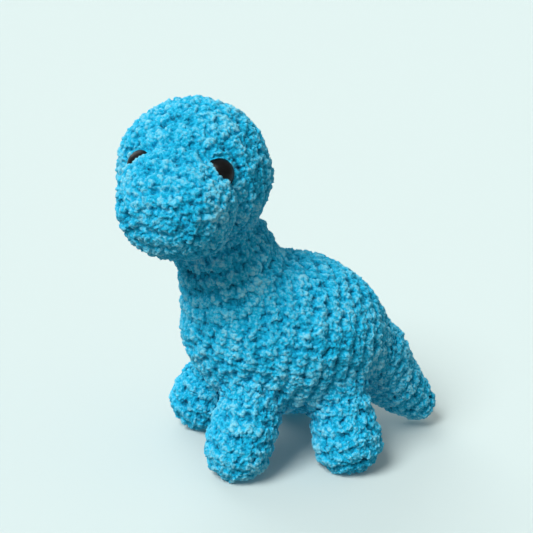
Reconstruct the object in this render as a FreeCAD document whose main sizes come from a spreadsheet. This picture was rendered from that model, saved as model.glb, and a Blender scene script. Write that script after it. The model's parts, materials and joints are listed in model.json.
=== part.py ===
import FreeCAD, Part
import Sketcher
import math
import os
import re

# Stuffed toy dinosaur with a long neck, crocheted from thick chenille yarn.
#
# Frame: +Z up, the soles stand on Z = 0, and the origin is the middle of the toy's footprint box.
# The body faces -Y with its mid-plane on X = 0, and the toy's own left is +X. The head is a ball
# with a broad muzzle, sewn on with its face turned to the toy's left.
#
# Every crocheted cover is a shell of one fabric thickness around its own wad of stuffing. A limb's
# cover ends in a ball that sits in a round pocket of the body cover, where the two are sewn
# together, so that it can flex about the ball's centre.

# Driving dimensions, in millimetres and degrees.
SIZES = {
    "fabric": 4.0,                  # thickness of the crocheted chenille
    "stuffing_gap": 0.15,           # between a wad of stuffing and the fabric around it
    "seam_gap": 0.4,                # between sewn pieces that flex against each other
    "sweep_gap": 0.7,               # the same, around a leg in each position of its swing
    "sweep_step": 0.08,             # by which the three positions' hip balls differ
    "yarn_radius": 1.2,             # one strand of sewing yarn
    "chest_y": -18.7,               # centre of the round front end of the egg-shaped torso
    "chest_z": 69.0,
    "rump_y": 20.7,                 # centre of its round rear end
    "rump_z": 62.0,
    "torso_end_radius": 38.0,
    "torso_side_radius": 74.3,      # of the arc that joins the two ends along the flank
    "head_y": -53.5,                # centre of the head ball
    "head_z": 153.2,
    "head_radius": 37.0,
    "head_turn": 58.0,              # how far the face looks to the toy's left
    "neck_base_y": -22.5,
    "neck_base_z": 80.5,
    "neck_base_radius": 32.0,
    "neck_top_radius": 15.5,        # of the neck's taper carried on to the head's centre
    "neck_split": 60.0,             # from the head's centre to the foot of the neck's stuffing
    "head_seam_drop": 30.6,         # from the head's centre along the neck
    "head_seam_radius": 24.6,
    "head_yarn_radius": 1.6,        # doubled strand
    "muzzle_reach": 31.5,           # centre of the muzzle, from the head's centre
    "muzzle_drop": 8.0,
    "muzzle_radius": 24.3,
    "muzzle_side": 3.8,             # centre of each rounded end of the muzzle, off the mid-plane
    "eye_turn": 33.0,               # each eye's direction from the head's centre
    "eye_lift": 14.0,
    "eye_ball_radius": 7.9,         # the dome is a cap of this ball, 15 mm across its rim
    "eye_height": 5.5,
    "eye_seat": 35.9,               # from the head's centre to the back of the eye
    "shank_radius": 2.4,
    "shank_length": 13.0,
    "barb_radius": 2.9,
    "barb_height": 1.2,
    "barb_pitch": 2.2,
    "barb_start": 0.9,              # from the shank's tip to the first barb
    "washer_radius": 7.0,
    "washer_seat": 32.1,            # from the head's centre to the washer's face
    "washer_thickness": 1.6,
    "washer_hub_radius": 4.4,
    "washer_hub_height": 2.4,
    "washer_bore": 3.0,
    "hip_radius": 15.5,
    "foot_radius": 18.0,
    "foot_z": 16.0,                 # less than the foot's radius: the sole is flat
    "hip_z": 48.0,
    "front_hip_x": 21.8,
    "front_hip_y": -21.5,
    "front_foot_x": 29.0,
    "front_foot_y": -34.0,
    "rear_hip_x": 25.0,
    "rear_hip_y": 19.0,
    "rear_foot_x": 36.6,
    "rear_foot_y": 24.0,
    "leg_swing": 15.0,              # each way from rest
    "swing_room": 9.3,              # how far a foot moves in its swing
    "leg_seam_radius": 7.0,
    "leg_seam_depth": 12.2,         # from the hip's centre towards the body
    "tail_root_y": 49.5,
    "tail_root_z": 47.5,
    "tail_root_radius": 23.3,
    "tail_tip_y": 86.7,
    "tail_tip_z": 13.7,
    "tail_tip_radius": 10.9,
    "tail_room": 17.0,              # how far the tip moves when the tail flexes
    "tail_seam_radius": 9.0,
    "tail_seam_depth": 23.2,        # from the tail root's centre towards the body
    "tail_seam_outer": 26.5,        # outer reach of the hollow that holds the tail's sewing yarn
    "tail_hollow_radius": 17.8,
    "tail_hollow_foot": 14.0,       # where that hollow starts, inside the tail's pocket
    "ground_size": 300.0,           # side of the slab that trims the soles
    "ground_depth": 30.0,
}

BARBS = 4
LEGS = {
    "front_left_leg": ("front", 1),
    "front_right_leg": ("front", -1),
    "rear_left_leg": ("rear", 1),
    "rear_right_leg": ("rear", -1),
}
ORIGIN = ("0", "0", "0")
HEAD = ("0", "head_y", "head_z")
NECK_BASE = ("0", "neck_base_y", "neck_base_z")
CHEST = ("0", "chest_y", "chest_z")
RUMP = ("0", "rump_y", "rump_z")
TAIL_ROOT = ("0", "tail_root_y", "tail_root_z")
TAIL_TIP = ("0", "tail_tip_y", "tail_tip_z")

doc = FreeCAD.newDocument("dinosaur")
sheet = doc.addObject("Spreadsheet::Sheet", "Sizes")
for row, (alias, number) in enumerate(SIZES.items(), start=1):
    sheet.set(f"A{row}", alias)
    sheet.set(f"B{row}", str(number))
    sheet.setAlias(f"B{row}", alias)
doc.recompute()


def sized(text):
    """The expression text, with every driving dimension read from the sheet."""
    return re.sub(r"[a-z]\w*", lambda word: "Sizes." + word[0] if word[0] in SIZES else word[0], text)


# Placements, as expressions.

def at(spot, axis="0; 0; 1", angle="0"):
    """At a spot, turned by an angle about an axis."""
    return f"placement(vector({'; '.join(spot)}); rotation(vector({axis}); {angle}))"


def towards(start, end):
    """At the start, with local Z pointing at the end."""
    across, ahead, up = (f"(({b}) - ({a}))" for a, b in zip(start, end))
    length = f"sqrt({across} ^ 2 + {ahead} ^ 2 + {up} ^ 2)"
    return at(start, f"0 - {ahead}; {across}; 0", f"acos({up} / {length})")


def gap_between(start, end):
    """The distance from the start to the end."""
    return "sqrt(" + " + ".join(f"(({b}) - ({a})) ^ 2" for a, b in zip(start, end)) + ")"


HEAD_FRAME = at(HEAD, angle="head_turn")


# Solids and booleans.

def solid(kind, name, place=None, **sizes):
    """A primitive whose sizes and place are bound to the sheet."""
    piece = doc.addObject("Part::" + kind, name)
    for size, text in sizes.items():
        piece.setExpression(size, sized(text))
    if place:
        piece.setExpression("Placement", sized(place))
    return piece


def joined(name, pieces, place=None):
    fuse = doc.addObject("Part::MultiFuse", name)
    fuse.Shapes = pieces
    if place:
        fuse.setExpression("Placement", sized(place))
    return fuse


def cut(name, base, tools, place=None):
    """The base without the tools, taken away one after another."""
    for tool in tools:
        result = doc.addObject("Part::Cut", name)
        result.Base, result.Tool = base, tool
        base = result
    if place:
        result.setExpression("Placement", sized(place))
    return result


def common(name, first, second):
    result = doc.addObject("Part::Common", name)
    result.Base, result.Tool = first, second
    return result


def limb(name, start, end, near_radius, far_radius, side_radius=None, place=None):
    """A ball at the start and a ball at the end, joined by the cone that touches both.

    With a side radius, an arc that bulges outwards takes the cone's place. Half of the outline is
    drawn beside the sketch's vertical axis and turned about that axis.
    """
    body = doc.addObject("PartDesign::Body", name)
    plane = next(p for p in body.Origin.OriginFeatures if p.Role == "XZ_Plane")
    sketch = body.newObject("Sketcher::SketchObject", name + "_outline")
    sketch.AttachmentSupport = (plane, "")
    sketch.MapMode = "FlatFace"
    vector, out_of_plane = FreeCAD.Vector, FreeCAD.Vector(0, 0, 1)
    # The sketch starts near its solution; the constraints then drive every size.
    ball, reach, flank_radius, flank_offset = 38, 40, 74, -30
    down, up, lean = math.radians(-90), math.radians(90), math.radians(33 if side_radius else 0)
    near_ball = Part.Circle(vector(0, 0, 0), out_of_plane, ball)
    far_ball = Part.Circle(vector(0, reach, 0), out_of_plane, ball)
    near = sketch.addGeometry(Part.ArcOfCircle(near_ball, down, -lean))
    far = sketch.addGeometry(Part.ArcOfCircle(far_ball, lean, up))
    if side_radius:
        flank = Part.Circle(vector(flank_offset, reach / 2, 0), out_of_plane, flank_radius)
        side = sketch.addGeometry(Part.ArcOfCircle(flank, -lean, lean))
    else:
        side = sketch.addGeometry(Part.LineSegment(vector(ball, 0, 0), vector(ball, reach, 0)))
    middle = sketch.addGeometry(Part.LineSegment(vector(0, reach + ball, 0), vector(0, -ball, 0)))
    first, last, centre, origin, vertical = 1, 2, 3, -1, -2

    def constrain(*rule):
        return sketch.addConstraint(Sketcher.Constraint(*rule))

    constrain("Coincident", near, centre, origin, first)
    constrain("PointOnObject", far, centre, vertical)
    constrain("PointOnObject", near, first, vertical)
    constrain("PointOnObject", far, last, vertical)
    constrain("Tangent", near, last, side, first)
    constrain("Tangent", side, last, far, first)
    constrain("Coincident", middle, first, far, last)
    constrain("Coincident", middle, last, near, first)
    driven = [(constrain("Radius", near, ball), near_radius),
              (constrain("Radius", far, ball), far_radius),
              (constrain("DistanceY", near, centre, far, centre, reach), gap_between(start, end))]
    if side_radius:
        driven.append((constrain("Radius", side, flank_radius), side_radius))
    for index, text in driven:
        sketch.setExpression(f"Constraints[{index}]", sized(text))
    turned = body.newObject("PartDesign::Revolution", name + "_turned")
    turned.Profile = sketch
    turned.ReferenceAxis = (sketch, ["V_Axis"])
    turned.Angle = 360
    body.Tip = turned
    body.setExpression("Placement", sized(place or towards(start, end)))
    return body


def ground(name, level):
    """A slab whose top is at the given level."""
    side = "ground_size"
    return solid("Box", name, at((f"0 - {side} / 2", f"0 - {side} / 2", f"{level} - ground_depth")),
                 Length=side, Width=side, Height="ground_depth")


# Head: a ball and a muzzle crocheted in one, in the head's own frame with the face towards -Y.

def head_form(name, inset):
    """The head's outer form, brought in by the inset."""
    ball = solid("Sphere", name + "_ball", Radius=f"head_radius - {inset}")
    ends = [(side, "0 - muzzle_reach", "0 - muzzle_drop") for side in ("0 - muzzle_side", "muzzle_side")]
    muzzle = limb(name + "_muzzle", *ends, f"muzzle_radius - {inset}", f"muzzle_radius - {inset}")
    return joined(name, [ball, muzzle])


def eye_frame(side):
    """Places a thing made along +Z at the head's centre so that +Z runs out through the eye."""
    return (f"{at(ORIGIN, angle=f'{side} * eye_turn')} * "
            f"{at(ORIGIN, axis='1; 0; 0', angle='90 - eye_lift')}")


def eye_dome(name, place=None):
    """The cap of a ball that shows."""
    centre = at(("0", "0", "eye_seat + eye_height - eye_ball_radius"))
    return solid("Sphere", name, f"{place} * {centre}" if place else centre, Radius="eye_ball_radius",
                 Angle1="asin(1 - eye_height / eye_ball_radius)")


def eye(name, side):
    """A domed safety eye with its barbed shank."""
    dome = eye_dome(name + "_dome")
    shank = solid("Cylinder", name + "_shank", at(("0", "0", "eye_seat - shank_length")),
                  Radius="shank_radius", Height="shank_length")
    barbs = [solid("Cone", f"{name}_barb_{i}",
                   at(("0", "0", f"eye_seat - shank_length + barb_start + {i} * barb_pitch")),
                   Radius1="shank_radius", Radius2="barb_radius", Height="barb_height")
             for i in range(BARBS)]
    return joined(name, [dome, shank, *barbs], f"{HEAD_FRAME} * {eye_frame(side)}")


def eye_washer(name, side):
    """The toothed washer's disc and hub, pushed up the shank against the inside of the fabric."""
    disc = solid("Cylinder", name + "_disc", at(("0", "0", "washer_seat - washer_thickness")),
                 Radius="washer_radius", Height="washer_thickness")
    hub_foot = "washer_seat - washer_thickness - washer_hub_height"
    hub = solid("Cylinder", name + "_hub", at(("0", "0", hub_foot)),
                Radius="washer_hub_radius", Height="washer_hub_height + washer_thickness / 2")
    bore = solid("Cylinder", name + "_bore", at(("0", "0", f"{hub_foot} - 1")),
                 Radius="washer_bore", Height="washer_hub_height + washer_thickness + 2")
    return cut(name, joined(name + "_blank", [disc, hub]), [bore], f"{HEAD_FRAME} * {eye_frame(side)}")


def eye_room_in_cover(name, side):
    """What an eye takes out of the fabric: its dome and the hole for its shank."""
    dome = eye_dome(name + "_dome", eye_frame(side))
    hole = solid("Cylinder", name + "_hole",
                 f"{eye_frame(side)} * {at(('0', '0', 'eye_seat - shank_length'))}",
                 Radius="washer_bore", Height="shank_length + stuffing_gap")
    return [dome, hole]


def eye_room_in_filling(name, side):
    """What an eye takes out of the stuffing: room for its dome, its shank and its washer."""
    rim = "sqrt(eye_ball_radius ^ 2 - (eye_ball_radius - eye_height) ^ 2)"
    socket = solid("Cylinder", name + "_socket",
                   f"{eye_frame(side)} * {at(('0', '0', 'eye_seat - stuffing_gap'))}",
                   Radius=f"{rim} + stuffing_gap", Height="eye_height + 2 * stuffing_gap")
    foot = "washer_seat - washer_thickness - washer_hub_height - stuffing_gap"
    washer = solid("Cylinder", name + "_washer", f"{eye_frame(side)} * {at(('0', '0', foot))}",
                   Radius="washer_radius + stuffing_gap", Height="washer_seat - washer_hub_height")
    shank = solid("Cylinder", name + "_shank",
                  f"{eye_frame(side)} * {at(('0', '0', 'eye_seat - shank_length - stuffing_gap'))}",
                  Radius="washer_bore + stuffing_gap", Height="shank_length")
    return [socket, washer, shank]


parts = {}
room_in_cover, room_in_filling = [], []
for side_name, side in (("left", 1), ("right", -1)):
    parts[f"{side_name}_eye"] = eye(f"{side_name}_eye", side)
    parts[f"{side_name}_eye_washer"] = eye_washer(f"{side_name}_eye_washer", side)
    room_in_cover += eye_room_in_cover(f"{side_name}_eye_seat", side)
    room_in_filling += eye_room_in_filling(f"{side_name}_eye_pocket", side)
parts["head_cover"] = cut("head_cover", head_form("head_outside", "0"),
                          [head_form("head_inside", "fabric"), *room_in_cover], HEAD_FRAME)
parts["head_filling"] = cut("head_filling", head_form("head_wad", "(fabric + stuffing_gap)"),
                            room_in_filling, HEAD_FRAME)
neck_line = towards(HEAD, NECK_BASE)
parts["head_seam_yarn"] = solid("Torus", "head_seam_yarn",
                                f"{neck_line} * {at(('0', '0', 'head_seam_drop'))}",
                                Radius1="head_seam_radius", Radius2="head_yarn_radius")


# Legs: each a tapered limb with a flat sole, closed over the hip.

def leg_ends(row, side):
    """A leg's hip centre and foot centre."""
    hip = (f"{side} * {row}_hip_x", f"{row}_hip_y", "hip_z")
    foot = (f"{side} * {row}_foot_x", f"{row}_foot_y", "foot_z")
    return hip, foot


def leg_form(name, row, side, inset, level):
    """A leg brought in by the inset and cut off level above the ground."""
    hip, foot = leg_ends(row, side)
    whole = limb(name + "_limb", hip, foot, f"hip_radius - {inset}", f"foot_radius - {inset}")
    return cut(name, whole, [ground(name + "_ground", level)])


def leg_yarn(name, row, side, radius):
    """The ring of sewing yarn around the top of a leg, let into its fabric."""
    hip, foot = leg_ends(row, side)
    return solid("Torus", name, f"{towards(hip, foot)} * {at(('0', '0', '0 - leg_seam_depth'))}",
                 Radius1="leg_seam_radius", Radius2=radius)


def leg_sweep(name, row, side):
    """A leg with its clearance, at each limit of its swing and between them.

    The three balls share a centre, so their radii differ a little: no two faces coincide.
    """
    hip, foot = leg_ends(row, side)
    foot_from_hip = tuple(f"({f}) - ({h})" for h, f in zip(hip, foot))
    return [limb(f"{name}_{step + 1}", hip, foot, f"hip_radius + seam_gap + {step} * sweep_step",
                 "foot_radius + sweep_gap", place=f"{at(hip, '1; 0; 0', f'{step} * leg_swing')} * "
                                                  f"{towards(ORIGIN, foot_from_hip)}")
            for step in (-1, 0, 1)]


def leg_bay(name, row, side, inset):
    """The pocket over a leg's whole swing, as the inside of the body's fabric sees it."""
    hip, foot = leg_ends(row, side)
    return limb(name, hip, foot, f"hip_radius + seam_gap + {inset}",
                f"foot_radius + swing_room + {inset}")


for leg, (row, side) in LEGS.items():
    outside = leg_form(leg + "_outside", row, side, "0", "0")
    inside = leg_form(leg + "_inside", row, side, "fabric", "fabric")
    groove = leg_yarn(leg + "_groove", row, side, "yarn_radius + stuffing_gap")
    parts[leg + "_cover"] = cut(leg + "_cover", outside, [inside, groove])
    parts[leg + "_filling"] = leg_form(leg + "_filling", row, side, "(fabric + stuffing_gap)",
                                       "(fabric + stuffing_gap)")
    parts[leg + "_seam_yarn"] = leg_yarn(leg + "_seam_yarn", row, side, "yarn_radius")


# Tail: a cone that points back and down.

def tail_form(name, inset, room="0"):
    return limb(name, TAIL_ROOT, TAIL_TIP, f"tail_root_radius - {inset}",
                f"tail_tip_radius - {inset} + {room}")


tail_line = towards(TAIL_ROOT, TAIL_TIP)
parts["tail_cover"] = cut("tail_cover", tail_form("tail_outside", "0"),
                          [tail_form("tail_inside", "fabric")])
parts["tail_filling"] = tail_form("tail_filling", "(fabric + stuffing_gap)")
parts["tail_seam_yarn"] = solid("Torus", "tail_seam_yarn",
                                f"{tail_line} * {at(('0', '0', '0 - tail_seam_depth'))}",
                                Radius1="tail_seam_radius", Radius2="yarn_radius")
hollow_ball = solid("Sphere", "tail_hollow_ball", at(TAIL_ROOT), Radius="tail_seam_outer")
hollow_top = solid("Cylinder", "tail_hollow_top",
                   f"{tail_line} * {at(('0', '0', '0 - 2 * tail_hollow_foot'))}",
                   Radius="tail_hollow_radius", Height="tail_hollow_foot")
tail_hollow = common("tail_hollow", hollow_ball, hollow_top)


# Body: the egg-shaped torso and the neck crocheted in one, with a cup for the head and a pocket
# for each limb.

def body_form(name, inset):
    """The torso and the neck, brought in by the inset."""
    torso = limb(name + "_torso", CHEST, RUMP, f"torso_end_radius - {inset}",
                 f"torso_end_radius - {inset}", f"torso_side_radius - {inset}")
    neck = limb(name + "_neck", HEAD, NECK_BASE, f"neck_top_radius - {inset}",
                f"neck_base_radius - {inset}")
    return joined(name, [torso, neck])


def body_inside(name, inset):
    """The room inside the body cover, closed off by every pocket's fabric and open to the head."""
    bays = [leg_bay(f"{name}_{leg}_bay", row, side, inset) for leg, (row, side) in LEGS.items()]
    tail_bay = tail_form(name + "_tail_bay", f"(0 - seam_gap - 2 * yarn_radius - {inset})", "tail_room")
    return cut(name, body_form(name + "_form", inset), [*bays, tail_bay])


def head_cup(name, gap):
    """The hollow that the head ball rests in."""
    return solid("Sphere", name, at(HEAD), Radius=f"head_radius + {gap}")


leg_pockets = [sweep for leg, (row, side) in LEGS.items()
               for sweep in leg_sweep(leg + "_sweep", row, side)]
tail_pocket = tail_form("tail_pocket", "(0 - seam_gap)", "tail_room")
body_outside = cut("body_outside", body_form("body_form", "0"),
                   [head_cup("cover_cup", "seam_gap"), *leg_pockets, tail_pocket, tail_hollow])
parts["body_cover"] = cut("body_cover", body_outside, [body_inside("body_room", "fabric")])
stuffing = cut("stuffing", body_inside("stuffing_room", "(fabric + stuffing_gap)"),
               [head_cup("stuffing_cup", "seam_gap + stuffing_gap")])
neck_region = solid("Cylinder", "neck_region", neck_line, Radius="neck_base_radius + fabric",
                    Height="neck_split")
parts["neck_filling"] = common("neck_filling", stuffing, neck_region)
parts["body_filling"] = cut("body_filling", stuffing, [neck_region])

for node, piece in parts.items():
    piece.Label = node
doc.recompute()

for item in doc.Objects:
    if "Invalid" in item.State or "Error" in item.State:
        raise RuntimeError(f"{item.Name} did not recompute: {item.State}")
os.makedirs("parts", exist_ok=True)
for node, piece in parts.items():
    shape = piece.Shape
    if shape.isNull() or not shape.isValid() or not shape.Solids:
        raise RuntimeError(f"{node} is not a valid solid")
for node, piece in parts.items():
    piece.Shape.exportStep(f"parts/{node}.step")
    print(f"{node}: {len(piece.Shape.Solids)} solid, {piece.Shape.Volume:.0f} mm3")
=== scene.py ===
import json
import math

import bmesh
import bpy
import numpy as np
from mathutils import Matrix, Vector


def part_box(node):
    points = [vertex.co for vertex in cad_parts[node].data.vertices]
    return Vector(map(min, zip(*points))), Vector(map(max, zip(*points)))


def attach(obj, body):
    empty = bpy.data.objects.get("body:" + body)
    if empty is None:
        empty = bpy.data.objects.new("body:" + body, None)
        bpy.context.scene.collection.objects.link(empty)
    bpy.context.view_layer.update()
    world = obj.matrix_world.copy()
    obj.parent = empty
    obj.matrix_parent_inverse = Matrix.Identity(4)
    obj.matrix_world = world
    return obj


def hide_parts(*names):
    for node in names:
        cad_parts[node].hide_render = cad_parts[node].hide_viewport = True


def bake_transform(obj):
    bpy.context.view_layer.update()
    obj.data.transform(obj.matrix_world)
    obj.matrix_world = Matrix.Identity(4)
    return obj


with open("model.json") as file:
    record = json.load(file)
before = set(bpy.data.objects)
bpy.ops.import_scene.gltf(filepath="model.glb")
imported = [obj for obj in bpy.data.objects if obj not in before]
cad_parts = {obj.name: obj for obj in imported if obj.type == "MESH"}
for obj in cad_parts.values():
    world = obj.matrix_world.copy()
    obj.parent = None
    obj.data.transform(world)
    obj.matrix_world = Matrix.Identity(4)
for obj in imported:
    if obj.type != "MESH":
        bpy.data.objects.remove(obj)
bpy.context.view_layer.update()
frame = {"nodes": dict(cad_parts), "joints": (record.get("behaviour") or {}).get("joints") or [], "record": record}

# A stuffed dinosaur crocheted from thick chenille yarn. Each crocheted cover is made in four steps:
# a smooth form that follows its CAD cover, a layer of V-shaped stitches laid in rounds about the
# piece's own axis, a fine voxel remesh, and the chenille's pile of small tufts.
# Forms and stitches are worked out in millimetres and turned into metres when a mesh is made.

MM = 0.001
JOINTS = {joint["name"]: joint for joint in frame["joints"]}
MOUNTS = {mount["name"]: mount for mount in frame["record"]["mounts"]}
LEGS = ("front_left_leg", "front_right_leg", "rear_left_leg", "rear_right_leg")

STITCH_WIDTH = 9.0
ROUND_HEIGHT = 8.6
LOBE_LENGTH, LOBE_WIDTH = 5.3, 3.3      # half of each leg of a stitch's V
FLOOR = 0.35            # pile fills the holes between stitches up to here
LOBE_TILT = math.radians(24)
LOBE_SPREAD = 0.26 * STITCH_WIDTH       # from the stitch's middle to each leg's
ROUND_JITTER, STITCH_JITTER = 1.9, 2.0  # how far stitches stray, across the rounds and along them
STITCH_DEPTH = 3.9      # from the crevices to the tops of the stitches
LEVEL = 0.66            # the height within that depth at which the form's own surface lies
LUMP_SIZE, FLUFF_SIZE = 3.7, 1.9        # the chenille's tufts, at two finer sizes
FORM_VOXEL, BODY_VOXEL, LIMB_VOXEL, WAD_VOXEL, YARN_VOXEL = 0.9, 0.54, 0.46, 1.5, 0.5


def millimetres(point):
    return np.array(point, float) / MM


def corners(node):
    low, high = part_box(node)
    return millimetres(low), millimetres(high)


def unit(vector):
    vector = np.asarray(vector, float)
    return vector / np.linalg.norm(vector)


UP = np.array((0.0, 0.0, 1.0))
HEAD = millimetres(JOINTS["head_nod"]["pos_m"])
FACE_LEFT = unit(JOINTS["head_nod"]["axis"])
FACE_AHEAD = np.cross(FACE_LEFT, UP)
NECK_UP = unit(JOINTS["head_turn"]["axis"])
HEAD_RADIUS = corners("head_cover")[1][2] - HEAD[2]
MUZZLE = HEAD + FACE_AHEAD * 31.5 - UP * 8.0
MUZZLE_SIDE, MUZZLE_RADIUS = 3.8, 24.3
CHIN = MUZZLE - 3.0 * FACE_AHEAD - 4.0 * FACE_LEFT - 12.0 * UP
CHIN_RADIUS = 13.8
EYE_TURN, EYE_LIFT, EYE_SEAT = 33.0, 14.0, 35.9     # degrees aside, degrees up, distance from HEAD
EYE_BALL, EYE_HEIGHT = 7.9, 5.5         # the dome is a cap of the ball
SHANK_RADIUS, SHANK_LENGTH = 2.4, 13.0
LEG_FILLET, TAIL_FILLET, NECK_FILLET, MUZZLE_FILLET = 6.0, 11.0, 6.0, 4.0
MUZZLE_FOLD = 1.6       # depth of the fold behind the muzzle's cheeks
EYE_LAPS = 0.3, 1.6     # how far the muzzle swells over the left and the right eye's inner edge
WAD_DEPTH = 6.0         # from a limb's form to its stuffing, which stays covered as the limb swings
TAIL_ROOT_WAD_DEPTH = 9.0
POCKET_OVERLAP = 3.0    # by which a limb's fabric presses into the body's
NECK_LENGTH, NECK_TOP_RADIUS, NECK_BASE_RADIUS = 79.0, 14.8, 32.0
NECK_TOP = HEAD - np.array((0.0, 1.0, 0.0))
NECK_BASE = HEAD - NECK_LENGTH * NECK_UP
TORSO_CENTRE = np.array((0.0, 1.8, 65.5))
TORSO_RADII = np.array((45.0, 57.2, 43.5))
TORSO_SLOPE = math.radians(-10.0)
TORSO_BACK = np.array((0.0, math.cos(TORSO_SLOPE), math.sin(TORSO_SLOPE)))
HIP_RADIUS, FOOT_RADIUS = 14.6, 18.0
SOLE_TO_FOOT = np.array((0.0, 1.0, 16.0))
TAIL_ROOT = millimetres(JOINTS["tail_wag"]["pos_m"])
TAIL_ROOT_RADIUS, TAIL_TIP_RADIUS = 23.3, 10.9
TAIL_TIP = np.array((0.0, corners("tail_cover")[1][1] - TAIL_TIP_RADIUS,
                     corners("tail_cover")[0][2] + TAIL_TIP_RADIUS))


# Distances to smooth forms, negative inside.

def ball(p, centre, radius):
    return np.linalg.norm(p - centre, axis=1) - radius


def limb(p, start, end, near, far):
    """Distance to a ball at the start, a ball at the end and the cone that touches both."""
    axis = end - start
    length = np.linalg.norm(axis)
    axis = axis / length
    along = (p - start) @ axis
    out = np.linalg.norm(p - start - np.outer(along, axis), axis=1)
    sine = (near - far) / length
    cosine = math.sqrt(1 - sine * sine)
    cone = out * cosine + along * sine - near
    height = along * cosine - out * sine
    return np.where(height < 0, np.hypot(along, out) - near,
                    np.where(height > length * cosine, np.hypot(along - length, out) - far, cone))


def torso(p):
    q = p - TORSO_CENTRE
    cosine, sine = math.cos(TORSO_SLOPE), math.sin(TORSO_SLOPE)
    q = np.stack((q[:, 0], q[:, 1] * cosine + q[:, 2] * sine, q[:, 2] * cosine - q[:, 1] * sine), 1)
    scaled = np.linalg.norm(q / TORSO_RADII, axis=1)
    slope = np.linalg.norm(q / TORSO_RADII ** 2, axis=1) + 1e-9
    return scaled * (scaled - 1) / slope


def neck(p):
    return limb(p, NECK_TOP, NECK_BASE, NECK_TOP_RADIUS, NECK_BASE_RADIUS)


def merge(a, b, reach):
    """The union of two forms, filleted over the reach."""
    mix = np.clip(0.5 + 0.5 * (b - a) / reach, 0, 1)
    return b + (a - b) * mix - reach * mix * (1 - mix)


def carve(a, b, reach=1.0):
    """The first form without the second, with a rounded edge."""
    return -merge(-a, b, reach)


def leg_ends(leg):
    hip = millimetres(JOINTS[leg + "_swing"]["pos_m"])
    sole = millimetres(MOUNTS[leg.replace("_leg", "_sole")]["pos_m"])
    return hip, sole + SOLE_TO_FOOT


def leg_whole(p, leg, grow=0.0):
    hip, foot = leg_ends(leg)
    return limb(p, hip, foot, HIP_RADIUS + grow, FOOT_RADIUS + grow)


def leg_form(p, leg):
    """The leg, flat where it stands on the ground."""
    return carve(leg_whole(p, leg), p[:, 2], 3.0)


def tail_form(p, grow=0.0):
    return limb(p, TAIL_ROOT, TAIL_TIP, TAIL_ROOT_RADIUS + grow, TAIL_TIP_RADIUS + grow)


def body_plain(p):
    return merge(torso(p), neck(p), NECK_FILLET)


def limbs(p, grow):
    """The head, the legs and the tail, grown a little."""
    depth = np.minimum(ball(p, HEAD, HEAD_RADIUS + grow), tail_form(p, grow))
    for leg in LEGS:
        depth = np.minimum(depth, leg_whole(p, leg, grow))
    return depth


def body_form(p):
    """The body, drawn out towards each limb that is sewn to it, with a pocket where the limb sits."""
    form = merge(body_plain(p), tail_form(p), TAIL_FILLET)
    for leg in LEGS:
        form = merge(form, leg_whole(p, leg), LEG_FILLET)
    return carve(form, limbs(p, -POCKET_OVERLAP))


def eye_direction(side):
    turn, lift = math.radians(side * EYE_TURN), math.radians(EYE_LIFT)
    ahead = FACE_AHEAD * math.cos(turn) + FACE_LEFT * math.sin(turn)
    return ahead * math.cos(lift) + UP * math.sin(lift)


def muzzle(p):
    return limb(p, MUZZLE + MUZZLE_SIDE * FACE_LEFT, MUZZLE - MUZZLE_SIDE * FACE_LEFT,
                MUZZLE_RADIUS, MUZZLE_RADIUS)


def eye_sockets(p):
    domes = [HEAD + (EYE_SEAT + EYE_HEIGHT - EYE_BALL) * eye_direction(side) for side in (1, -1)]
    return np.minimum(ball(p, domes[0], EYE_BALL), ball(p, domes[1], EYE_BALL))


def head_form(p):
    """The skull with its sockets, and the muzzle, whose edge laps over the eyes."""
    forehead = HEAD + 2.5 * FACE_AHEAD + 1.5 * UP
    skull = merge(ball(p, HEAD, HEAD_RADIUS + 0.4), ball(p, forehead, HEAD_RADIUS - 1.6), 1.0)
    skull, snout = carve(skull, eye_sockets(p)), merge(muzzle(p), ball(p, CHIN, CHIN_RADIUS), 3.0)
    q = p - HEAD
    on_brow = fade(q @ UP, -2.0, 12.0) * fade(-abs(q @ FACE_LEFT), -20.0, -8.0)
    by_eye = np.exp(-(np.clip(eye_sockets(p), 0, None) / 5.0) ** 2)
    on_left = fade(q @ FACE_LEFT, -5.0, 5.0)
    snout = snout - (EYE_LAPS[0] * on_left + EYE_LAPS[1] * (1 - on_left)) * by_eye
    fold = MUZZLE_FOLD * np.exp(-((skull - snout) / 2.5) ** 2) * (1 - on_brow) * (1 - by_eye)
    return merge(skull, snout, MUZZLE_FILLET * (1 - 0.8 * by_eye)) + fold


def slope_of(form, p, step=0.05):
    """Outward unit normals of a form."""
    normal = np.stack([form(p + step * axis) - form(p - step * axis) for axis in np.eye(3)], 1)
    return normal / (np.linalg.norm(normal, axis=1, keepdims=True) + 1e-12)


# Randomness that depends only on place and seed.

def scatter(seed, *cells):
    """A number from 0 to 1 for each set of whole numbers."""
    mixed = np.full(np.shape(cells[0]), (seed * 2654435761) & 0xFFFFFFFF, np.uint64)
    for cell in cells:
        mixed ^= np.asarray(cell).astype(np.int64).astype(np.uint64) & np.uint64(0xFFFFFFFF)
        mixed = (mixed * np.uint64(0x9E3779B1)) & np.uint64(0xFFFFFFFF)
        mixed ^= mixed >> np.uint64(15)
        mixed = (mixed * np.uint64(0x85EBCA77)) & np.uint64(0xFFFFFFFF)
        mixed ^= mixed >> np.uint64(13)
    return mixed.astype(float) / 0xFFFFFFFF


def drift(p, size, seed):
    """Smooth noise from -1 to 1 whose features are about the given size."""
    q = p / size
    low = np.floor(q).astype(np.int64)
    f = q - low
    f = f * f * (3 - 2 * f)
    total = np.zeros(len(p))
    for corner in np.ndindex(2, 2, 2):
        weight = np.prod(np.where(np.array(corner), f, 1 - f), axis=1)
        cell = low + np.array(corner)
        total += weight * scatter(seed, cell[:, 0], cell[:, 1], cell[:, 2])
    return total * 2 - 1


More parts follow.
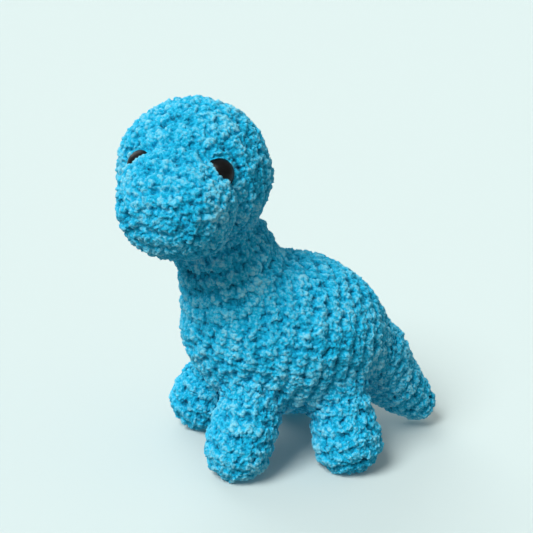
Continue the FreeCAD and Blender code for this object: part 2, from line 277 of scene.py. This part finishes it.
def tufts(p, size, seed):
    """Round lumps of about the given size that meet in creases: 1 on top, 0 in the deepest gaps."""
    q = p / size
    home = np.floor(q).astype(np.int64)
    nearest = np.full(len(p), 9.0)
    for offset in np.ndindex(3, 3, 3):
        cell = home + np.array(offset) - 1
        seeds = np.stack([scatter(seed + k, cell[:, 0], cell[:, 1], cell[:, 2]) for k in range(3)], 1)
        nearest = np.minimum(nearest, ((cell + seeds - q) ** 2).sum(1))
    return np.sqrt(np.clip(1 - nearest / 0.45, 0, 1))


# Stitches.

class Rounds:
    """Rounds of stitches about an axis, from the pole at its start.

    The form's mean outline along the axis gives each round's radius, and so its number of stitches.
    """

    def __init__(self, p, start, axis, seed):
        self.start, self.axis, self.seed = np.asarray(start, float), unit(axis), seed
        self.across = unit(np.cross(self.axis, UP + 0.3 * FACE_LEFT))
        self.aside = np.cross(self.axis, self.across)
        along, out, _ = self.place(p)
        self.low = along.min()
        edges = self.low + (along.max() - self.low) * np.linspace(0, 1, 161) ** 1.6
        index = np.clip(np.searchsorted(edges, along) - 1, 0, 159)
        count = np.bincount(index, minlength=160)
        outline = np.bincount(index, out, minlength=160) / np.maximum(count, 1)
        filled = count > 0
        middle = (edges[1:] + edges[:-1]) / 2
        outline = np.interp(middle, middle[filled], outline[filled])
        outline = np.convolve(np.pad(outline, 3, "edge"), np.ones(7) / 7, "valid")
        self.along = np.concatenate(([self.low], middle))
        self.out = np.concatenate(([0.0], outline))
        steps = np.hypot(np.diff(self.along), np.diff(self.out))
        self.length = np.concatenate(([0.0], np.cumsum(steps)))
        rows = int(self.length[-1] / ROUND_HEIGHT) + 2
        centres = (np.arange(rows) + 0.5) * ROUND_HEIGHT
        radius = np.interp(centres, self.length, self.out)
        self.stitches = np.maximum(np.round(2 * math.pi * radius / STITCH_WIDTH), 4).astype(int)
        lean = (0.2 + 0.15 * scatter(seed, np.arange(rows))) * 2 * math.pi / self.stitches
        self.phase = np.cumsum(lean)

    def place(self, p):
        q = p - self.start
        along = q @ self.axis
        x, y = q @ self.across, q @ self.aside
        return along, np.hypot(x, y), np.arctan2(y, x)

    def height(self, p):
        """The stitches' height from 0 to 1, and a shade from 0 to 1 for each stitch."""
        along, out, angle = self.place(p)
        length = np.interp(along, self.along, self.length)
        length = length + 0.9 * drift(p, 16.0, self.seed + 5)
        home = np.floor(length / ROUND_HEIGHT).astype(int)
        best = np.full(len(p), FLOOR)
        shade = np.full(len(p), 0.5)
        for row_step in (-1, 0, 1):
            row = np.clip(home + row_step, 0, len(self.stitches) - 1)
            count = self.stitches[row]
            turn = (angle - self.phase[row]) * count / (2 * math.pi)
            for stitch_step in (-1, 0, 1):
                stitch = np.round(turn).astype(int) + stitch_step
                name = stitch % count
                rand = [scatter(self.seed + 11 + k, row, name) for k in range(5)]
                ahead = length - (row + 0.5) * ROUND_HEIGHT + (rand[0] - 0.5) * ROUND_JITTER
                aside = (turn - stitch) * (2 * math.pi * out / count) + (rand[1] - 0.5) * STITCH_JITTER
                for side in (-1, 1):
                    tilt = side * LOBE_TILT + (rand[2] - 0.5) * 0.5
                    x = aside - side * LOBE_SPREAD
                    along_lobe = ahead * np.cos(tilt) + x * np.sin(tilt)
                    across_lobe = x * np.cos(tilt) - ahead * np.sin(tilt)
                    size = 0.9 + 0.25 * rand[3]
                    reach = ((along_lobe / (LOBE_LENGTH * size)) ** 2
                             + (across_lobe / (LOBE_WIDTH * size)) ** 2)
                    lobe = np.sqrt(np.clip(1 - reach, 0, 1)) * (0.8 + 0.2 * rand[4])
                    shade = np.where(lobe > best, rand[(side + 1) // 2 + 2], shade)
                    best = np.maximum(best, lobe)
        return best, shade


# Meshes.

def new_object(name, mesh):
    obj = bpy.data.objects.new(name, mesh)
    bpy.context.scene.collection.objects.link(obj)
    return obj


def read_points(mesh):
    flat = np.empty(len(mesh.vertices) * 3, np.float32)
    mesh.vertices.foreach_get("co", flat)
    return flat.reshape(-1, 3).astype(float) / MM


def write_points(mesh, p):
    mesh.vertices.foreach_set("co", (p * MM).astype(np.float32).ravel())
    mesh.update()


def read_normals(mesh):
    flat = np.empty(len(mesh.vertices) * 3, np.float32)
    mesh.vertex_normals.foreach_get("vector", flat)
    return flat.reshape(-1, 3).astype(float)


def remeshed(mesh, voxel):
    """A copy of a closed mesh, made again from even quads of the voxel's size, in millimetres."""
    source = new_object("remesh_source", mesh)
    modifier = source.modifiers.new("even", "REMESH")
    modifier.mode = "VOXEL"
    modifier.voxel_size = voxel * MM
    modifier.adaptivity = 0.0
    graph = bpy.context.evaluated_depsgraph_get()
    result = bpy.data.meshes.new_from_object(source.evaluated_get(graph))
    bpy.data.objects.remove(source)
    return result


def drop_islands(mesh):
    """Keeps the largest connected surface, without the loose bits that a remesh can leave."""
    ends = np.empty(len(mesh.edges) * 2, np.int32)
    mesh.edges.foreach_get("vertices", ends)
    first, second = ends.reshape(-1, 2).T
    island = np.arange(len(mesh.vertices))
    while True:
        lowest = np.minimum(island[first], island[second])
        joined = island.copy()
        for side in (first, second):
            np.minimum.at(joined, side, lowest)
            np.minimum.at(joined, island[side], lowest)
        joined = joined[joined]
        if (joined == island).all():
            break
        island = joined
    stray = np.flatnonzero(island != np.bincount(island).argmax())
    if len(stray):
        made = bmesh.new()
        made.from_mesh(mesh)
        made.verts.ensure_lookup_table()
        bmesh.ops.delete(made, geom=[made.verts[index] for index in stray], context="VERTS")
        made.to_mesh(mesh)
        made.free()


def ball_mesh(balls, subdivisions=4):
    """One mesh of many balls, each (centre, radius) in millimetres."""
    made = bmesh.new()
    for centre, radius in balls:
        place = Matrix.Translation(Vector(np.asarray(centre) * MM))
        bmesh.ops.create_icosphere(made, subdivisions=subdivisions, radius=radius * MM, matrix=place)
    mesh = bpy.data.meshes.new("balls")
    made.to_mesh(mesh)
    made.free()
    return mesh


def balls_along(start, end, near, far, count=14):
    return [(start + (end - start) * t, near + (far - near) * t) for t in np.linspace(0, 1, count)]


def formed(balls, form, voxel):
    """A closed mesh of a form, grown from balls that fill it roughly."""
    mesh = remeshed(ball_mesh(balls), voxel)
    p = read_points(mesh)
    for _ in range(8):
        away = form(p)
        p -= np.clip(away, -4, 4)[:, None] * slope_of(form, p)
    write_points(mesh, p)
    return mesh


def set_value(mesh, name, values):
    attribute = mesh.attributes.new(name, "FLOAT", "POINT")
    attribute.data.foreach_set("value", np.asarray(values, np.float32))


def fade(x, low, high):
    t = np.clip((x - low) / (high - low), 0, 1)
    return t * t * (3 - 2 * t)


def fluffed(mesh, height, shade, free, seed, ground=False):
    """Raises the chenille's pile on a mesh and stores how deep each point lies in it."""
    p = read_points(mesh)
    warp = np.stack([drift(p, 2.6, seed + 20 + k) for k in range(3)], 1)
    lumps = tufts(p + 1.3 * warp, LUMP_SIZE, seed + 30)
    fluff = tufts(p + 0.8 * warp, FLUFF_SIZE, seed + 40)
    pile = 0.85 * (lumps - 0.72) + 0.9 * (fluff - 0.68) + 0.3 * drift(p, 0.8, seed + 50)
    p = p + read_normals(mesh) * (pile * (0.2 + 0.8 * free))[:, None]
    if ground:
        p[:, 2] = np.maximum(p[:, 2], 0.0)
    write_points(mesh, p)
    # The pile value is how high each point sits among stitches and tufts. The chenille's colour turns it into
    # painted shade in the creases and painted highlights on the tips.
    set_value(mesh, "pile", np.clip(0.48 * height + 0.2 * lumps + 0.32 * fluff, 0, 1))
    set_value(mesh, "shade", shade)
    mesh.polygons.foreach_set("use_smooth", np.ones(len(mesh.polygons), bool))


def crocheted(name, balls, form, stitches, bare, voxel, seed, ground=False):
    """A crocheted cover: stitches on a form, then the chenille's pile.

    stitches gives each point's height and shade. bare is 0 where the fabric lies pressed against
    something and 1 where it is free.
    """
    mesh = formed(balls, form, FORM_VOXEL)
    p = read_points(mesh)
    height, _ = stitches(p)
    lift = (height - LEVEL) * STITCH_DEPTH + 0.8 * drift(p, 14.0, seed + 1)
    write_points(mesh, p + slope_of(form, p) * (lift * bare(p))[:, None])
    mesh = remeshed(mesh, voxel)
    drop_islands(mesh)
    p = read_points(mesh)
    fluffed(mesh, *stitches(p), bare(p), seed, ground)
    mesh.name = name
    print(name, len(mesh.vertices), "points")
    return new_object(name, mesh)


def whipped(name, line, seed, strand=1.5, coil=1.3, pitch=7.0):
    """A strand of chenille sewn over and over along a closed line."""
    ring = np.vstack((line, line[:1]))
    steps = np.linalg.norm(np.diff(ring, axis=0), axis=1)
    length = np.concatenate(([0.0], np.cumsum(steps)))
    turns = round(length[-1] / pitch)
    s = np.linspace(0, length[-1], int(length[-1] / 0.5), endpoint=False)
    spot = np.stack([np.interp(s, length, ring[:, k]) for k in range(3)], 1)
    ahead = np.roll(spot, -1, axis=0) - np.roll(spot, 1, axis=0)
    ahead /= np.linalg.norm(ahead, axis=1, keepdims=True)
    out = spot - line.mean(0)
    out -= (out * ahead).sum(1, keepdims=True) * ahead
    out /= np.linalg.norm(out, axis=1, keepdims=True)
    side = np.cross(ahead, out)
    turn = (2 * math.pi * turns * s / length[-1])[:, None]
    path = spot + coil * (np.cos(turn) * out + 1.6 * np.sin(turn) * side)
    mesh = remeshed(ball_mesh([(point, strand) for point in path], 2), YARN_VOXEL)
    p = read_points(mesh)
    full = np.ones(len(p))
    fluffed(mesh, full * 0.6, scatter(seed, np.floor(p / 5).astype(int).sum(1)), full * 0.6, seed)
    mesh.name = name
    print(name, len(mesh.vertices), "points")
    return new_object(name, mesh)


def wad(name, start, end, near, far):
    """A limb's wad of stuffing."""
    mesh = formed(balls_along(start, end, near, far), lambda p: limb(p, start, end, near, far),
                  WAD_VOXEL)
    mesh.polygons.foreach_set("use_smooth", np.ones(len(mesh.polygons), bool))
    mesh.name = name
    return new_object(name, mesh)


# The covers.

def body_stitches(p):
    """Rounds about the torso below and about the neck above, meeting where the two forms do."""
    from_neck, from_torso = neck(p), torso(p)
    low, low_shade = torso_rounds.height(p)
    high, high_shade = neck_rounds.height(p)
    on_neck = fade(from_torso - from_neck, -6, 3)
    on_torso = fade(from_neck - from_torso, -6, 3)
    low, high = low * on_torso, high * on_neck
    return np.maximum(low, high), np.where(low > high, low_shade, high_shade)


def body_bare(p):
    return fade(limbs(p, 0.0), -2.0, -0.2)


def limb_bare(p):
    return fade(body_plain(p), -2.5, 0.5)


def head_bare(p):
    """The sockets' walls are bare, but the muzzle's edge over the eyes isn't."""
    return np.maximum(fade(eye_sockets(p), 0.0, 1.2), 1 - fade(muzzle(p), 0.3, 1.5))


def limb_surface(start, end, near, far, rows, columns):
    """Points over a limb from its start's pole to its end's, in rows, as an array of rows by columns."""
    axis = unit(end - start)
    across = unit(np.cross(axis, (0.3, 0.8, 0.5)))
    aside = np.cross(axis, across)
    length = np.linalg.norm(end - start)
    lean = math.asin((near - far) / length)
    along, out = [], []
    for t in np.linspace(0, 1, rows):
        if t < 0.25:
            angle = -math.pi / 2 + (math.pi / 2 + lean) * t / 0.25
            along.append(near * math.sin(angle))
            out.append(near * math.cos(angle))
        elif t > 0.75:
            angle = lean + (math.pi / 2 - lean) * (t - 0.75) / 0.25
            along.append(length + far * math.sin(angle))
            out.append(far * math.cos(angle))
        else:
            k = (t - 0.25) / 0.5
            along.append(near * math.sin(lean) * (1 - k) + (length + far * math.sin(lean)) * k)
            out.append((near * (1 - k) + far * k) * math.cos(lean))
    turn = np.linspace(0, 2 * math.pi, columns, endpoint=False)[None, :, None]
    along, out = np.array(along)[:, None, None], np.array(out)[:, None, None]
    return start + along * axis + out * (np.cos(turn) * across + np.sin(turn) * aside)


def seam_line(grid, form):
    """Where a limb's surface first goes into a form, one point for each column of its grid."""
    rows, columns, _ = grid.shape
    depth = form(grid.reshape(-1, 3)).reshape(rows, columns)
    first = (depth <= 0).argmax(0)
    column = np.arange(columns)
    outer, inner = depth[first - 1, column], depth[first, column]
    share = (outer / (outer - inner))[:, None]
    return grid[first - 1, column] * (1 - share) + grid[first, column] * share


BODY_OF = {member: name for name, members in frame["record"]["behaviour"]["bodies"].items()
           for member in members}


def torso_surface():
    """Points over the torso, from its rear pole forward."""
    t, turn = np.meshgrid(np.linspace(0, math.pi, 200), np.linspace(0, 2 * math.pi, 48, endpoint=False))
    side, rise = np.array((1.0, 0.0, 0.0)), np.cross((1.0, 0.0, 0.0), TORSO_BACK)
    x, y, z = (value.ravel()[:, None] for value in
               (np.sin(t) * np.cos(turn), np.cos(t), np.sin(t) * np.sin(turn)))
    return (TORSO_CENTRE + TORSO_RADII[0] * x * side + TORSO_RADII[1] * y * TORSO_BACK
            + TORSO_RADII[2] * z * rise)


torso_rounds = Rounds(torso_surface(), TORSO_CENTRE + TORSO_RADII[1] * TORSO_BACK, -TORSO_BACK, 101)
neck_grid = limb_surface(NECK_BASE, NECK_TOP, NECK_BASE_RADIUS, NECK_TOP_RADIUS, 200, 48)
neck_rounds = Rounds(neck_grid.reshape(-1, 3), HEAD, -NECK_UP, 102)
body_balls = [(TORSO_CENTRE + TORSO_BACK * t, 40 * math.sqrt(1 - (t / 62) ** 2))
              for t in np.linspace(-48, 48, 13)]
body_balls += balls_along(HEAD, NECK_BASE, NECK_TOP_RADIUS, NECK_BASE_RADIUS)
body_balls += [(leg_ends(leg)[0], HIP_RADIUS + 4) for leg in LEGS]
body_balls.append((TAIL_ROOT, TAIL_ROOT_RADIUS + 4))
pieces = {"body_cover": crocheted("body_plush", body_balls, body_form, body_stitches, body_bare,
                                  BODY_VOXEL, 100)}

muzzle_front = MUZZLE + FACE_AHEAD * MUZZLE_RADIUS
head_balls = [(HEAD, HEAD_RADIUS)] + [(MUZZLE + side * MUZZLE_SIDE * FACE_LEFT, MUZZLE_RADIUS)
                                      for side in (1, -1)]
head_rounds = Rounds(read_points(remeshed(ball_mesh(head_balls), 2.0)), muzzle_front,
                     HEAD - 4.0 * UP - muzzle_front, 103)
pieces["head_cover"] = crocheted("head_plush", head_balls, head_form, head_rounds.height, head_bare,
                                 LIMB_VOXEL, 200)
neck_seam = seam_line(limb_surface(NECK_BASE, NECK_TOP, NECK_BASE_RADIUS, NECK_TOP_RADIUS, 400, 120),
                      lambda p: ball(p, HEAD, HEAD_RADIUS))
pieces["head_seam_yarn"] = whipped("neck_seam", neck_seam, 250, strand=1.3, coil=1.0)

tail_grid = limb_surface(TAIL_TIP, TAIL_ROOT, TAIL_TIP_RADIUS, TAIL_ROOT_RADIUS, 400, 120)
tail_rounds = Rounds(tail_grid.reshape(-1, 3), TAIL_TIP, TAIL_ROOT - TAIL_TIP, 104)
pieces["tail_cover"] = crocheted(
    "tail_plush", balls_along(TAIL_ROOT, TAIL_TIP, TAIL_ROOT_RADIUS, TAIL_TIP_RADIUS), tail_form,
    tail_rounds.height, limb_bare, LIMB_VOXEL, 300)
wads = {"tail_filling": wad("tail_wad", TAIL_ROOT, TAIL_TIP, TAIL_ROOT_RADIUS - TAIL_ROOT_WAD_DEPTH,
                            TAIL_TIP_RADIUS - WAD_DEPTH)}
pieces["tail_seam_yarn"] = whipped("tail_seam", seam_line(tail_grid, body_plain), 350)

for number, leg in enumerate(LEGS):
    hip, foot = leg_ends(leg)
    grid = limb_surface(foot, hip, FOOT_RADIUS, HIP_RADIUS, 400, 120)
    rounds = Rounds(grid.reshape(-1, 3), foot, hip - foot, 105 + number)
    cover = crocheted(leg + "_plush", balls_along(hip, foot, HIP_RADIUS, FOOT_RADIUS),
                      lambda p: leg_form(p, leg), rounds.height, limb_bare, LIMB_VOXEL,
                      400 + 100 * number, ground=True)
    line = seam_line(grid, body_plain)
    seam = whipped(leg + "_seam", line, 450 + 100 * number)
    middle = line.mean(0)
    lean = np.linalg.svd(line - middle)[2][2]
    lean = lean if lean @ (foot - middle) > 0 else -lean
    pieces[leg + "_cover"], pieces[leg + "_seam_yarn"] = cover, seam
    wads[leg + "_filling"] = wad(leg + "_wad", hip, foot, HIP_RADIUS - WAD_DEPTH, FOOT_RADIUS - WAD_DEPTH)


def safety_eye(name, side):
    """A domed eye with a rounded rim, its shank and the shank's barbs, turned about its axis."""
    centre = EYE_SEAT + EYE_HEIGHT - EYE_BALL
    rim = math.asin((EYE_SEAT - centre) / EYE_BALL)
    outline = [(EYE_BALL * math.cos(t), centre + EYE_BALL * math.sin(t))
               for t in np.linspace(math.pi / 2, rim + 0.05, 28)]
    width, foot = outline[-1][0], EYE_SEAT - SHANK_LENGTH
    outline += [(width, EYE_SEAT - 0.1), (width - 0.3, EYE_SEAT - 0.3),
                (SHANK_RADIUS + 0.4, EYE_SEAT - 0.3), (SHANK_RADIUS, EYE_SEAT - 0.7)]
    for barb in range(4, 0, -1):
        level = foot + 2.2 * barb - 1.3
        outline += [(SHANK_RADIUS, level + 1.25), (SHANK_RADIUS + 0.5, level + 1.2), (SHANK_RADIUS, level)]
    outline += [(SHANK_RADIUS - 0.3, foot), (0.0, foot)]
    ahead = eye_direction(side)
    across = unit(np.cross(ahead, UP))
    aside = np.cross(ahead, across)
    made = bmesh.new()
    rows = []
    for out, height in outline:
        turns = np.linspace(0, 2 * math.pi, 96, endpoint=False) if out > 0.001 else [0.0]
        ring = [HEAD + height * ahead + out * (math.cos(t) * across + math.sin(t) * aside) for t in turns]
        rows.append([made.verts.new((point * MM).tolist()) for point in ring])
    for upper, lower in zip(rows, rows[1:]):
        for i in range(96):
            ring = [upper[i % len(upper)], upper[(i + 1) % len(upper)],
                    lower[(i + 1) % len(lower)], lower[i % len(lower)]]
            made.faces.new(list(dict.fromkeys(ring)))
    bmesh.ops.recalc_face_normals(made, faces=made.faces)
    mesh = bpy.data.meshes.new(name)
    made.to_mesh(mesh)
    made.free()
    mesh.polygons.foreach_set("use_smooth", np.ones(len(mesh.polygons), bool))
    mesh.set_sharp_from_angle(angle=math.radians(40))
    return new_object(name, mesh)


eyes = {name + "_eye": safety_eye(name + "_safety_eye", side)
        for name, side in (("left", 1), ("right", -1))}


# Materials.

def material(name, **settings):
    made = bpy.data.materials.new(name)
    made.use_nodes = True
    shader = made.node_tree.nodes["Principled BSDF"]
    for socket, value in settings.items():
        shader.inputs[socket.replace("_", " ")].default_value = value
    return made, shader


class Graph:
    """Adds nodes to a material. An input is a number, a vector or another node's output."""

    def __init__(self, made):
        self.tree = made.node_tree

    def add(self, kind, inputs=None, **settings):
        made = self.tree.nodes.new("ShaderNode" + kind)
        for key, value in settings.items():
            setattr(made, key, value)
        for key, value in (inputs or {}).items():
            if isinstance(value, bpy.types.NodeSocket):
                self.tree.links.new(value, made.inputs[key])
            else:
                made.inputs[key].default_value = value
        return made

    def math(self, operation, *values):
        return self.add("Math", dict(enumerate(values)), operation=operation).outputs[0]

    def ramp(self, factor, *stops):
        made = self.add("ValToRGB", {"Fac": factor})
        elements = made.color_ramp.elements
        for end, (position, shade) in ((0, stops[0]), (1, stops[-1])):
            elements[end].position, elements[end].color = position, shade
        for position, shade in stops[1:-1]:
            elements.new(position).color = shade
        return made.outputs["Color"]


def colour(red, green, blue):
    """A scene colour from one written the usual way, 0 to 255."""
    return tuple(c / 3294.6 if c <= 10.31 else ((c / 255 + 0.055) / 1.055) ** 2.4
                 for c in (red, green, blue)) + (1.0,)


def chenille_material():
    """Blue yarn with fine wisps in its bump. Its colour holds painted light: darker in the creases as painted
    shade and paler on the tips as painted highlights, with random patches and a random tone for each stitch.
    """
    made, shader = material("blue_chenille", Roughness=0.92, Sheen_Weight=0.17, Sheen_Roughness=0.5,
                            Specular_IOR_Level=0.03)
    shader.inputs["Sheen Tint"].default_value = colour(180, 222, 240)
    graph = Graph(made)
    place = graph.add("TexCoord").outputs["Object"]
    waver = graph.add("TexNoise", {"Vector": place, "Scale": 600.0, "Detail": 2.0}).outputs["Color"]
    waver = graph.add("VectorMath", {0: waver, 1: (0.5, 0.5, 0.5)}, operation="SUBTRACT").outputs[0]
    place = graph.add("VectorMath", {0: waver, 1: (0.0011, 0.0011, 0.0011), 2: place},
                      operation="MULTIPLY_ADD").outputs[0]
    # The small cells' edges darken the colour below as painted shade in the fine creases, and also shape the bump.
    tips = graph.add("TexVoronoi", {"Vector": place, "Scale": 850.0}).outputs["Distance"]
    wisps = graph.add("TexNoise", {"Vector": place, "Scale": 480.0, "Detail": 6.0, "Roughness": 0.75,
                                   "Distortion": 2.0}).outputs["Fac"]
    patches = graph.add("TexNoise", {"Vector": place, "Scale": 60.0, "Detail": 3.0}).outputs["Fac"]
    fine = graph.math("MULTIPLY_ADD", tips, -0.5, graph.math("MULTIPLY_ADD", wisps, 1.8, -0.7))
    pile = graph.add("Attribute", attribute_name="pile").outputs["Fac"]
    shade = graph.add("Attribute", attribute_name="shade").outputs["Fac"]
    height = graph.math("MULTIPLY_ADD", fine, 0.55, pile)
    height = graph.math("MULTIPLY_ADD", graph.math("SUBTRACT", patches, 0.5), 0.5, height)
    height = graph.math("MULTIPLY_ADD", graph.math("SUBTRACT", shade, 0.5), 0.12, height)
    # Painted light: the ramp is dark where the pile and the fine cells sink, as painted shade in the creases, and
    # pale where they rise, as painted highlights on the tips.
    tint = graph.ramp(height, (0.1, colour(0, 82, 110)), (0.32, colour(0, 150, 194)),
                      (0.6, colour(28, 186, 230)), (1.0, colour(136, 216, 238)))
    graph.tree.links.new(tint, shader.inputs["Base Color"])
    bump = graph.add("Bump", {"Height": fine, "Strength": 0.7, "Distance": 0.0009}).outputs["Normal"]
    graph.tree.links.new(bump, shader.inputs["Normal"])
    return made


def stuffing_material():
    """White polyester fibre."""
    made, shader = material("white_stuffing", Roughness=0.95, Sheen_Weight=0.3, Specular_IOR_Level=0.15)
    graph = Graph(made)
    place = graph.add("TexCoord").outputs["Object"]
    wisps = graph.add("TexNoise", {"Vector": place, "Scale": 260.0, "Detail": 6.0, "Distortion": 1.5}
                      ).outputs["Fac"]
    tint = graph.ramp(wisps, (0.3, colour(214, 214, 208)), (0.7, colour(248, 248, 244)))
    graph.tree.links.new(tint, shader.inputs["Base Color"])
    bump = graph.add("Bump", {"Height": wisps, "Strength": 0.7, "Distance": 0.001}).outputs["Normal"]
    graph.tree.links.new(bump, shader.inputs["Normal"])
    return made


def plastic_material(name, low, high, rough_low, rough_high, **settings):
    """Moulded plastic with a faint haze and fine scuffs."""
    made, shader = material(name, **settings)
    graph = Graph(made)
    place = graph.add("TexCoord").outputs["Object"]
    haze = graph.add("TexNoise", {"Vector": place, "Scale": 400.0, "Detail": 4.0}).outputs["Fac"]
    scuffs = graph.add("TexNoise", {"Vector": place, "Scale": 1500.0, "Detail": 2.0}).outputs["Fac"]
    graph.tree.links.new(graph.ramp(haze, (0.35, low), (0.7, high)), shader.inputs["Base Color"])
    rough = graph.add("MapRange", {"Value": haze, "From Min": 0.3, "From Max": 0.7, "To Min": rough_low,
                                   "To Max": rough_high}).outputs["Result"]
    graph.tree.links.new(rough, shader.inputs["Roughness"])
    bump = graph.add("Bump", {"Height": scuffs, "Strength": 0.15, "Distance": 0.00005}).outputs["Normal"]
    graph.tree.links.new(bump, shader.inputs["Normal"])
    return made


chenille, stuffing = chenille_material(), stuffing_material()
black_plastic = plastic_material("black_plastic", colour(7, 8, 9), colour(15, 15, 16), 0.3, 0.42,
                                 Specular_IOR_Level=0.14)
washer_plastic = plastic_material("washer_plastic", colour(216, 219, 214), colour(232, 234, 230),
                                  0.4, 0.55)

for cad_node, piece in {**pieces, **wads}.items():
    piece.data.materials.append(stuffing if cad_node in wads else chenille)
    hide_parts(cad_node)
    body = BODY_OF[cad_node]
    if body in LEGS:
        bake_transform(piece)
    else:
        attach(piece, body)
for cad_node, piece in eyes.items():
    piece.data.materials.append(black_plastic)
    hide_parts(cad_node)
    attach(piece, "head")
for cad_node, piece in frame["nodes"].items():
    if cad_node.endswith(("filling", "washer")) and cad_node not in wads:
        finish = stuffing if cad_node.endswith("filling") else washer_plastic
        for holder in piece.material_slots:
            holder.material = finish

# The floor, the backdrop, the lights and the camera.

PALE = colour(226, 242, 239)
world = bpy.data.worlds.new("studio")
world.use_nodes = True
world.node_tree.nodes["Background"].inputs["Color"].default_value = (1.0, 0.97, 0.92, 1.0)
world.node_tree.nodes["Background"].inputs["Strength"].default_value = 0.42
bpy.context.scene.world = world
bpy.context.scene.view_settings.view_transform = "Standard"

floor_mesh = bpy.data.meshes.new("floor")
floor_mesh.from_pydata([(-8, -8, 0), (8, -8, 0), (8, 8, 0), (-8, 8, 0)], [], [(0, 1, 2, 3)])
floor = new_object("floor", floor_mesh)
floor_paint, _ = material("floor_paint", Roughness=0.9, Base_Color=colour(191, 207, 208),
                         Specular_IOR_Level=0.0)
floor_mesh.materials.append(floor_paint)
floor.visible_diffuse = False
BACKDROP_RADIUS = 7000.0
backdrop = new_object("backdrop", ball_mesh([((0, 0, 0), BACKDROP_RADIUS)]))
backdrop_paint, _ = material("backdrop_paint", Base_Color=(0, 0, 0, 1), Emission_Color=PALE,
                             Emission_Strength=1.0)
backdrop.data.materials.append(backdrop_paint)
backdrop.visible_diffuse = backdrop.visible_glossy = backdrop.visible_shadow = False


def lamp(name, energy, spread, turn, height):
    """A soft sun from a direction given in degrees: its turn from the front and its height."""
    light = bpy.data.lights.new(name, "SUN")
    light.energy, light.angle, light.color = energy, math.radians(spread), (1.0, 0.99, 0.97)
    turn, height = math.radians(turn), math.radians(height)
    source = Vector((math.sin(turn) * math.cos(height), -math.cos(turn) * math.cos(height),
                     math.sin(height)))
    new_object(name, light).rotation_euler = source.to_track_quat("Z", "Y").to_euler()


lamp("key", 3.75, 28, 28, 48)
lamp("fill", 1.1, 50, -85, 32)

# The camera stands on an orbit about the toy's middle and aims a little above it and left of it.
ORBIT_CENTRE, ORBIT_RADIUS = np.array((0.0, -4.35, 80.0)), 568.8
azimuth, elevation, roll = math.radians(66.91), math.radians(20.57), math.radians(3.99)
back = np.array((math.sin(azimuth) * math.cos(elevation), -math.cos(azimuth) * math.cos(elevation),
                 math.sin(elevation)))
level_right = np.array((math.cos(azimuth), math.sin(azimuth), 0.0))
level_up = np.cross(back, level_right)
right = level_right * math.cos(roll) + level_up * math.sin(roll)
above = level_up * math.cos(roll) - level_right * math.sin(roll)
eye_point = ORBIT_CENTRE + ORBIT_RADIUS * back
aim = ORBIT_CENTRE - 5.87 * right + 20.8 * above
away = unit(eye_point - aim)
across = unit(np.cross(above, away))
lens = bpy.data.cameras.new("camera")
lens.sensor_width, lens.lens, lens.clip_end = 36.0, 72.5, 50.0
camera = new_object("camera", lens)
camera.matrix_world = Matrix.Translation(Vector(eye_point * MM)) @ Matrix(
    np.stack((across, np.cross(away, across), away), 1).tolist()).to_4x4()
bpy.context.scene.camera = camera
